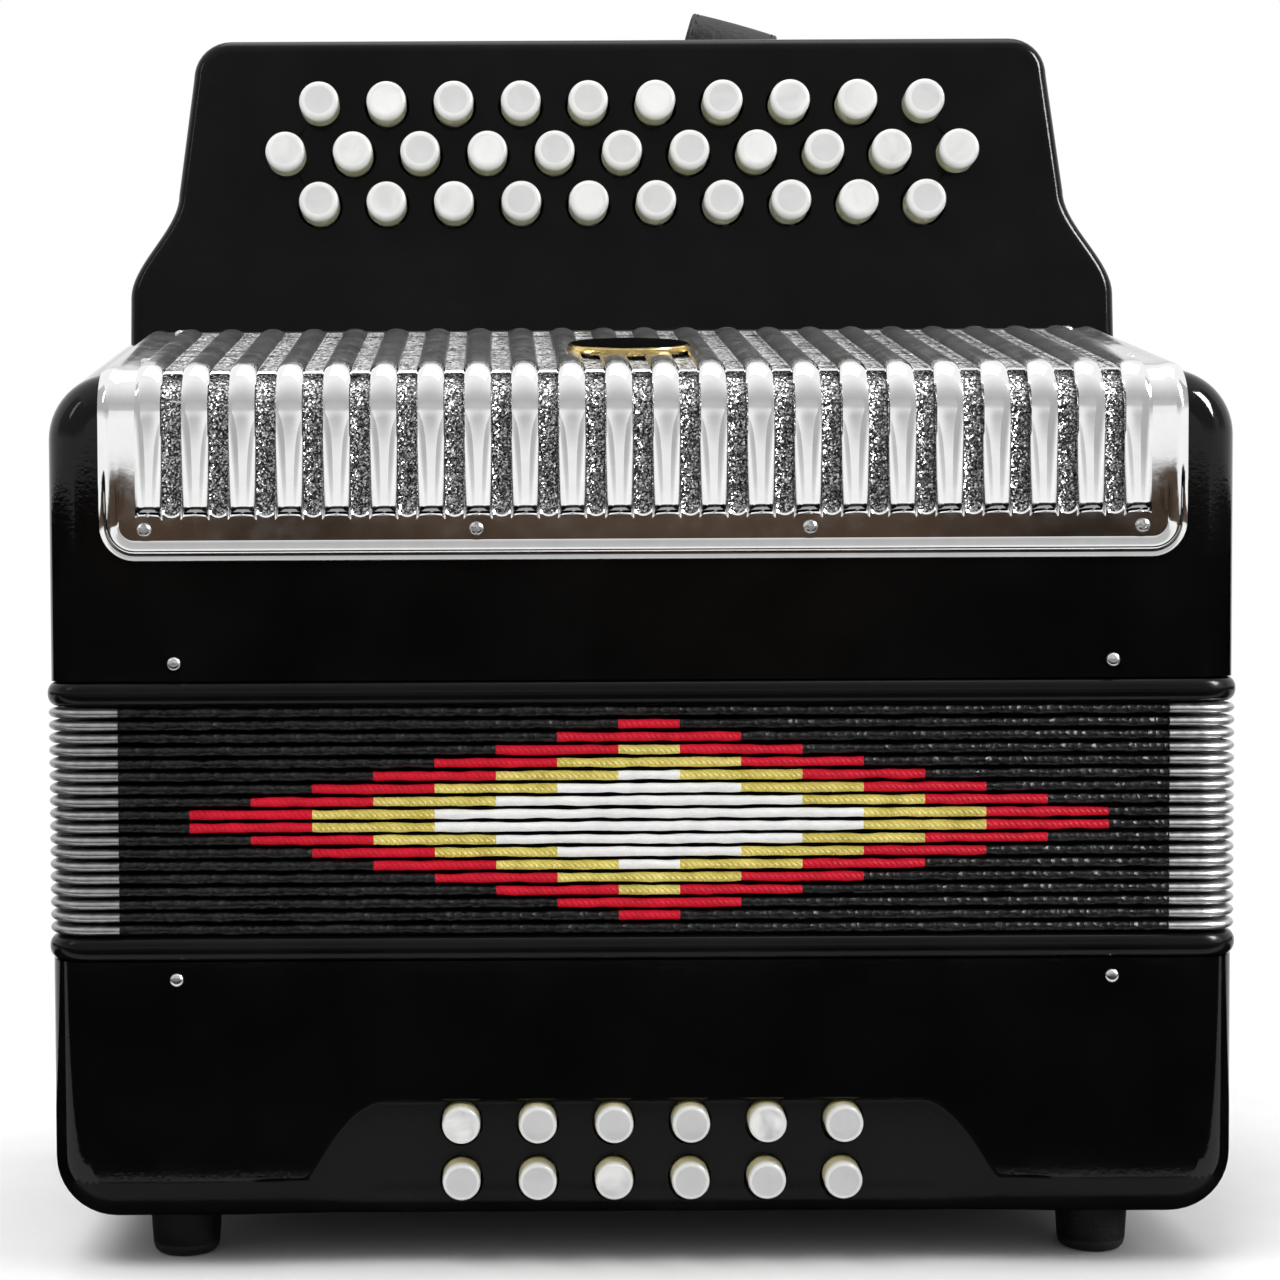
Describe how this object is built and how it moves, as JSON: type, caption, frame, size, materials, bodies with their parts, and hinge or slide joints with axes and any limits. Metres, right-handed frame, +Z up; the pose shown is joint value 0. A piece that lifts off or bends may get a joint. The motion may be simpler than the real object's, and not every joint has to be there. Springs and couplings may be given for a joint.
{
  "type": "diatonic button accordion",
  "caption": "Button accordion standing on its bass end: black casings, slotted chrome grille, closed bellows with a stepped diamond, sprung treble and bass buttons.",
  "frame": {"origin": "on the floor under the middle of the instrument, between the four feet", "axes": "+X along the button rows to the right as seen from the grille side, +Y from the grille side to the player's side, +Z up from the feet to the fingerboard"},
  "size_m": [0.307, 0.177, 0.3583],
  "materials": {
    "black_case": "polished black lacquered case",
    "black_fingerboard": "black, slightly softer gloss",
    "chrome_grille": "polished chromed sheet",
    "grille_cloth": "black cloth with silver glitter",
    "sound_wood": "plain sanded wood",
    "steel_fittings": "nickel-plated steel",
    "strap_leather": "black leather",
    "black_frame": "polished black",
    "bellows_cloth": "black bellows cloth over card",
    "corner_metal": "nickel-plated sheet",
    "foot_rubber": "matt black rubber",
    "pearl_button": "pearly white plastic"
  },
  "bodies": {
    "bass_end": {"bass_casing": "black_case", "bass_frame": "black_frame", "bass_soundboard": "sound_wood", "bass_fittings": "steel_fittings", "feet": "foot_rubber", "hand_strap": "strap_leather", "bellows": "bellows_cloth", "bellows_corners": "corner_metal"},
    "treble_end": {"treble_casing": "black_case", "fingerboard": "black_fingerboard", "treble_grille": "chrome_grille", "grille_cloth": "grille_cloth", "treble_soundboard": "sound_wood", "treble_fittings": "steel_fittings", "thumb_strap": "strap_leather", "treble_frame": "black_frame"},
    "air_valve": {"air_button": "pearl_button"},
    "treble_key_01": {"treble_key_01": "pearl_button"},
    "treble_key_02": {"treble_key_02": "pearl_button"},
    "treble_key_03": {"treble_key_03": "pearl_button"},
    "treble_key_04": {"treble_key_04": "pearl_button"},
    "treble_key_05": {"treble_key_05": "pearl_button"},
    "treble_key_06": {"treble_key_06": "pearl_button"},
    "treble_key_07": {"treble_key_07": "pearl_button"},
    "treble_key_08": {"treble_key_08": "pearl_button"},
    "treble_key_09": {"treble_key_09": "pearl_button"},
    "treble_key_10": {"treble_key_10": "pearl_button"},
    "treble_key_11": {"treble_key_11": "pearl_button"},
    "treble_key_12": {"treble_key_12": "pearl_button"},
    "treble_key_13": {"treble_key_13": "pearl_button"},
    "treble_key_14": {"treble_key_14": "pearl_button"},
    "treble_key_15": {"treble_key_15": "pearl_button"},
    "treble_key_16": {"treble_key_16": "pearl_button"},
    "treble_key_17": {"treble_key_17": "pearl_button"},
    "treble_key_18": {"treble_key_18": "pearl_button"},
    "treble_key_19": {"treble_key_19": "pearl_button"},
    "treble_key_20": {"treble_key_20": "pearl_button"},
    "treble_key_21": {"treble_key_21": "pearl_button"},
    "treble_key_22": {"treble_key_22": "pearl_button"},
    "treble_key_23": {"treble_key_23": "pearl_button"},
    "treble_key_24": {"treble_key_24": "pearl_button"},
    "treble_key_25": {"treble_key_25": "pearl_button"},
    "treble_key_26": {"treble_key_26": "pearl_button"},
    "treble_key_27": {"treble_key_27": "pearl_button"},
    "treble_key_28": {"treble_key_28": "pearl_button"},
    "treble_key_29": {"treble_key_29": "pearl_button"},
    "treble_key_30": {"treble_key_30": "pearl_button"},
    "treble_key_31": {"treble_key_31": "pearl_button"},
    "bass_key_01": {"bass_key_01": "pearl_button"},
    "bass_key_02": {"bass_key_02": "pearl_button"},
    "bass_key_03": {"bass_key_03": "pearl_button"},
    "bass_key_04": {"bass_key_04": "pearl_button"},
    "bass_key_05": {"bass_key_05": "pearl_button"},
    "bass_key_06": {"bass_key_06": "pearl_button"},
    "bass_key_07": {"bass_key_07": "pearl_button"},
    "bass_key_08": {"bass_key_08": "pearl_button"},
    "bass_key_09": {"bass_key_09": "pearl_button"},
    "bass_key_10": {"bass_key_10": "pearl_button"},
    "bass_key_11": {"bass_key_11": "pearl_button"},
    "bass_key_12": {"bass_key_12": "pearl_button"}
  },
  "joints": [
    {"name": "bellows_slide", "type": "slide", "parent": "bass_end", "child": "treble_end", "axis": [0, 0, 1], "range_m": [0, 0.24], "deforming": ["bellows", "bellows_corners"]},
    {"name": "treble_key_01_press", "type": "hinge", "parent": "treble_end", "child": "treble_key_01", "pos_m": [0, 0.00922, 0.24171], "axis": [1, 0, 0], "range_deg": [-4.91, 0], "stiffness_Nm_per_rad": 0.32, "springref_deg": 8.59},
    {"name": "treble_key_02_press", "type": "hinge", "parent": "treble_end", "child": "treble_key_02", "pos_m": [0, 0.00922, 0.24171], "axis": [1, 0, 0], "range_deg": [-4.91, 0], "stiffness_Nm_per_rad": 0.32, "springref_deg": 8.59},
    {"name": "treble_key_03_press", "type": "hinge", "parent": "treble_end", "child": "treble_key_03", "pos_m": [0, 0.00922, 0.24171], "axis": [1, 0, 0], "range_deg": [-4.91, 0], "stiffness_Nm_per_rad": 0.32, "springref_deg": 8.59},
    {"name": "treble_key_04_press", "type": "hinge", "parent": "treble_end", "child": "treble_key_04", "pos_m": [0, 0.00922, 0.24171], "axis": [1, 0, 0], "range_deg": [-4.91, 0], "stiffness_Nm_per_rad": 0.32, "springref_deg": 8.59},
    {"name": "treble_key_05_press", "type": "hinge", "parent": "treble_end", "child": "treble_key_05", "pos_m": [0, 0.00922, 0.24171], "axis": [1, 0, 0], "range_deg": [-4.91, 0], "stiffness_Nm_per_rad": 0.32, "springref_deg": 8.59},
    {"name": "treble_key_06_press", "type": "hinge", "parent": "treble_end", "child": "treble_key_06", "pos_m": [0, 0.00922, 0.24171], "axis": [1, 0, 0], "range_deg": [-4.91, 0], "stiffness_Nm_per_rad": 0.32, "springref_deg": 8.59},
    {"name": "treble_key_07_press", "type": "hinge", "parent": "treble_end", "child": "treble_key_07", "pos_m": [0, 0.00922, 0.24171], "axis": [1, 0, 0], "range_deg": [-4.91, 0], "stiffness_Nm_per_rad": 0.32, "springref_deg": 8.59},
    {"name": "treble_key_08_press", "type": "hinge", "parent": "treble_end", "child": "treble_key_08", "pos_m": [0, 0.00922, 0.24171], "axis": [1, 0, 0], "range_deg": [-4.91, 0], "stiffness_Nm_per_rad": 0.32, "springref_deg": 8.59},
    {"name": "treble_key_09_press", "type": "hinge", "parent": "treble_end", "child": "treble_key_09", "pos_m": [0, 0.00922, 0.24171], "axis": [1, 0, 0], "range_deg": [-4.91, 0], "stiffness_Nm_per_rad": 0.32, "springref_deg": 8.59},
    {"name": "treble_key_10_press", "type": "hinge", "parent": "treble_end", "child": "treble_key_10", "pos_m": [0, 0.00922, 0.24171], "axis": [1, 0, 0], "range_deg": [-4.91, 0], "stiffness_Nm_per_rad": 0.32, "springref_deg": 8.59},
    {"name": "treble_key_11_press", "type": "hinge", "parent": "treble_end", "child": "treble_key_11", "pos_m": [0, 0.00922, 0.24171], "axis": [1, 0, 0], "range_deg": [-3.73, 0], "stiffness_Nm_per_rad": 0.32, "springref_deg": 8.59},
    {"name": "treble_key_12_press", "type": "hinge", "parent": "treble_end", "child": "treble_key_12", "pos_m": [0, 0.00922, 0.24171], "axis": [1, 0, 0], "range_deg": [-3.73, 0], "stiffness_Nm_per_rad": 0.32, "springref_deg": 8.59},
    {"name": "treble_key_13_press", "type": "hinge", "parent": "treble_end", "child": "treble_key_13", "pos_m": [0, 0.00922, 0.24171], "axis": [1, 0, 0], "range_deg": [-3.73, 0], "stiffness_Nm_per_rad": 0.32, "springref_deg": 8.59},
    {"name": "treble_key_14_press", "type": "hinge", "parent": "treble_end", "child": "treble_key_14", "pos_m": [0, 0.00922, 0.24171], "axis": [1, 0, 0], "range_deg": [-3.73, 0], "stiffness_Nm_per_rad": 0.32, "springref_deg": 8.59},
    {"name": "treble_key_15_press", "type": "hinge", "parent": "treble_end", "child": "treble_key_15", "pos_m": [0, 0.00922, 0.24171], "axis": [1, 0, 0], "range_deg": [-3.73, 0], "stiffness_Nm_per_rad": 0.32, "springref_deg": 8.59},
    {"name": "treble_key_16_press", "type": "hinge", "parent": "treble_end", "child": "treble_key_16", "pos_m": [0, 0.00922, 0.24171], "axis": [1, 0, 0], "range_deg": [-3.73, 0], "stiffness_Nm_per_rad": 0.32, "springref_deg": 8.59},
    {"name": "treble_key_17_press", "type": "hinge", "parent": "treble_end", "child": "treble_key_17", "pos_m": [0, 0.00922, 0.24171], "axis": [1, 0, 0], "range_deg": [-3.73, 0], "stiffness_Nm_per_rad": 0.32, "springref_deg": 8.59},
    {"name": "treble_key_18_press", "type": "hinge", "parent": "treble_end", "child": "treble_key_18", "pos_m": [0, 0.00922, 0.24171], "axis": [1, 0, 0], "range_deg": [-3.73, 0], "stiffness_Nm_per_rad": 0.32, "springref_deg": 8.59},
    {"name": "treble_key_19_press", "type": "hinge", "parent": "treble_end", "child": "treble_key_19", "pos_m": [0, 0.00922, 0.24171], "axis": [1, 0, 0], "range_deg": [-3.73, 0], "stiffness_Nm_per_rad": 0.32, "springref_deg": 8.59},
    {"name": "treble_key_20_press", "type": "hinge", "parent": "treble_end", "child": "treble_key_20", "pos_m": [0, 0.00922, 0.24171], "axis": [1, 0, 0], "range_deg": [-3.73, 0], "stiffness_Nm_per_rad": 0.32, "springref_deg": 8.59},
    {"name": "treble_key_21_press", "type": "hinge", "parent": "treble_end", "child": "treble_key_21", "pos_m": [0, 0.00922, 0.24171], "axis": [1, 0, 0], "range_deg": [-3.73, 0], "stiffness_Nm_per_rad": 0.32, "springref_deg": 8.59},
    {"name": "treble_key_22_press", "type": "hinge", "parent": "treble_end", "child": "treble_key_22", "pos_m": [0, 0.00922, 0.24171], "axis": [1, 0, 0], "range_deg": [-3, 0], "stiffness_Nm_per_rad": 0.32, "springref_deg": 8.59},
    {"name": "treble_key_23_press", "type": "hinge", "parent": "treble_end", "child": "treble_key_23", "pos_m": [0, 0.00922, 0.24171], "axis": [1, 0, 0], "range_deg": [-3, 0], "stiffness_Nm_per_rad": 0.32, "springref_deg": 8.59},
    {"name": "treble_key_24_press", "type": "hinge", "parent": "treble_end", "child": "treble_key_24", "pos_m": [0, 0.00922, 0.24171], "axis": [1, 0, 0], "range_deg": [-3, 0], "stiffness_Nm_per_rad": 0.32, "springref_deg": 8.59},
    {"name": "treble_key_25_press", "type": "hinge", "parent": "treble_end", "child": "treble_key_25", "pos_m": [0, 0.00922, 0.24171], "axis": [1, 0, 0], "range_deg": [-3, 0], "stiffness_Nm_per_rad": 0.32, "springref_deg": 8.59},
    {"name": "treble_key_26_press", "type": "hinge", "parent": "treble_end", "child": "treble_key_26", "pos_m": [0, 0.00922, 0.24171], "axis": [1, 0, 0], "range_deg": [-3, 0], "stiffness_Nm_per_rad": 0.32, "springref_deg": 8.59},
    {"name": "treble_key_27_press", "type": "hinge", "parent": "treble_end", "child": "treble_key_27", "pos_m": [0, 0.00922, 0.24171], "axis": [1, 0, 0], "range_deg": [-3, 0], "stiffness_Nm_per_rad": 0.32, "springref_deg": 8.59},
    {"name": "treble_key_28_press", "type": "hinge", "parent": "treble_end", "child": "treble_key_28", "pos_m": [0, 0.00922, 0.24171], "axis": [1, 0, 0], "range_deg": [-3, 0], "stiffness_Nm_per_rad": 0.32, "springref_deg": 8.59},
    {"name": "treble_key_29_press", "type": "hinge", "parent": "treble_end", "child": "treble_key_29", "pos_m": [0, 0.00922, 0.24171], "axis": [1, 0, 0], "range_deg": [-3, 0], "stiffness_Nm_per_rad": 0.32, "springref_deg": 8.59},
    {"name": "treble_key_30_press", "type": "hinge", "parent": "treble_end", "child": "treble_key_30", "pos_m": [0, 0.00922, 0.24171], "axis": [1, 0, 0], "range_deg": [-3, 0], "stiffness_Nm_per_rad": 0.32, "springref_deg": 8.59},
    {"name": "treble_key_31_press", "type": "hinge", "parent": "treble_end", "child": "treble_key_31", "pos_m": [0, 0.00922, 0.24171], "axis": [1, 0, 0], "range_deg": [-3, 0], "stiffness_Nm_per_rad": 0.32, "springref_deg": 8.59},
    {"name": "bass_key_01_press", "type": "hinge", "parent": "bass_end", "child": "bass_key_01", "pos_m": [0, -0.076, 0.062], "axis": [1, 0, 0], "range_deg": [0, 4.64], "stiffness_Nm_per_rad": 0.2, "springref_deg": -8.59},
    {"name": "bass_key_02_press", "type": "hinge", "parent": "bass_end", "child": "bass_key_02", "pos_m": [0, -0.076, 0.062], "axis": [1, 0, 0], "range_deg": [0, 4.64], "stiffness_Nm_per_rad": 0.2, "springref_deg": -8.59},
    {"name": "bass_key_03_press", "type": "hinge", "parent": "bass_end", "child": "bass_key_03", "pos_m": [0, -0.076, 0.062], "axis": [1, 0, 0], "range_deg": [0, 4.64], "stiffness_Nm_per_rad": 0.2, "springref_deg": -8.59},
    {"name": "bass_key_04_press", "type": "hinge", "parent": "bass_end", "child": "bass_key_04", "pos_m": [0, -0.076, 0.062], "axis": [1, 0, 0], "range_deg": [0, 4.64], "stiffness_Nm_per_rad": 0.2, "springref_deg": -8.59},
    {"name": "bass_key_05_press", "type": "hinge", "parent": "bass_end", "child": "bass_key_05", "pos_m": [0, -0.076, 0.062], "axis": [1, 0, 0], "range_deg": [0, 4.64], "stiffness_Nm_per_rad": 0.2, "springref_deg": -8.59},
    {"name": "bass_key_06_press", "type": "hinge", "parent": "bass_end", "child": "bass_key_06", "pos_m": [0, -0.076, 0.062], "axis": [1, 0, 0], "range_deg": [0, 4.64], "stiffness_Nm_per_rad": 0.2, "springref_deg": -8.59},
    {"name": "bass_key_07_press", "type": "hinge", "parent": "bass_end", "child": "bass_key_07", "pos_m": [0, -0.076, 0.062], "axis": [1, 0, 0], "range_deg": [0, 7.8], "stiffness_Nm_per_rad": 0.2, "springref_deg": -8.59},
    {"name": "bass_key_08_press", "type": "hinge", "parent": "bass_end", "child": "bass_key_08", "pos_m": [0, -0.076, 0.062], "axis": [1, 0, 0], "range_deg": [0, 7.8], "stiffness_Nm_per_rad": 0.2, "springref_deg": -8.59},
    {"name": "bass_key_09_press", "type": "hinge", "parent": "bass_end", "child": "bass_key_09", "pos_m": [0, -0.076, 0.062], "axis": [1, 0, 0], "range_deg": [0, 7.8], "stiffness_Nm_per_rad": 0.2, "springref_deg": -8.59},
    {"name": "bass_key_10_press", "type": "hinge", "parent": "bass_end", "child": "bass_key_10", "pos_m": [0, -0.076, 0.062], "axis": [1, 0, 0], "range_deg": [0, 7.8], "stiffness_Nm_per_rad": 0.2, "springref_deg": -8.59},
    {"name": "bass_key_11_press", "type": "hinge", "parent": "bass_end", "child": "bass_key_11", "pos_m": [0, -0.076, 0.062], "axis": [1, 0, 0], "range_deg": [0, 7.8], "stiffness_Nm_per_rad": 0.2, "springref_deg": -8.59},
    {"name": "bass_key_12_press", "type": "hinge", "parent": "bass_end", "child": "bass_key_12", "pos_m": [0, -0.076, 0.062], "axis": [1, 0, 0], "range_deg": [0, 7.8], "stiffness_Nm_per_rad": 0.2, "springref_deg": -8.59},
    {"name": "air_button_press", "type": "slide", "parent": "bass_end", "child": "air_valve", "axis": [0, -1, 0], "range_m": [0, 0.003], "stiffness_N_per_m": 300, "springref_m": -0.004}
  ]
}
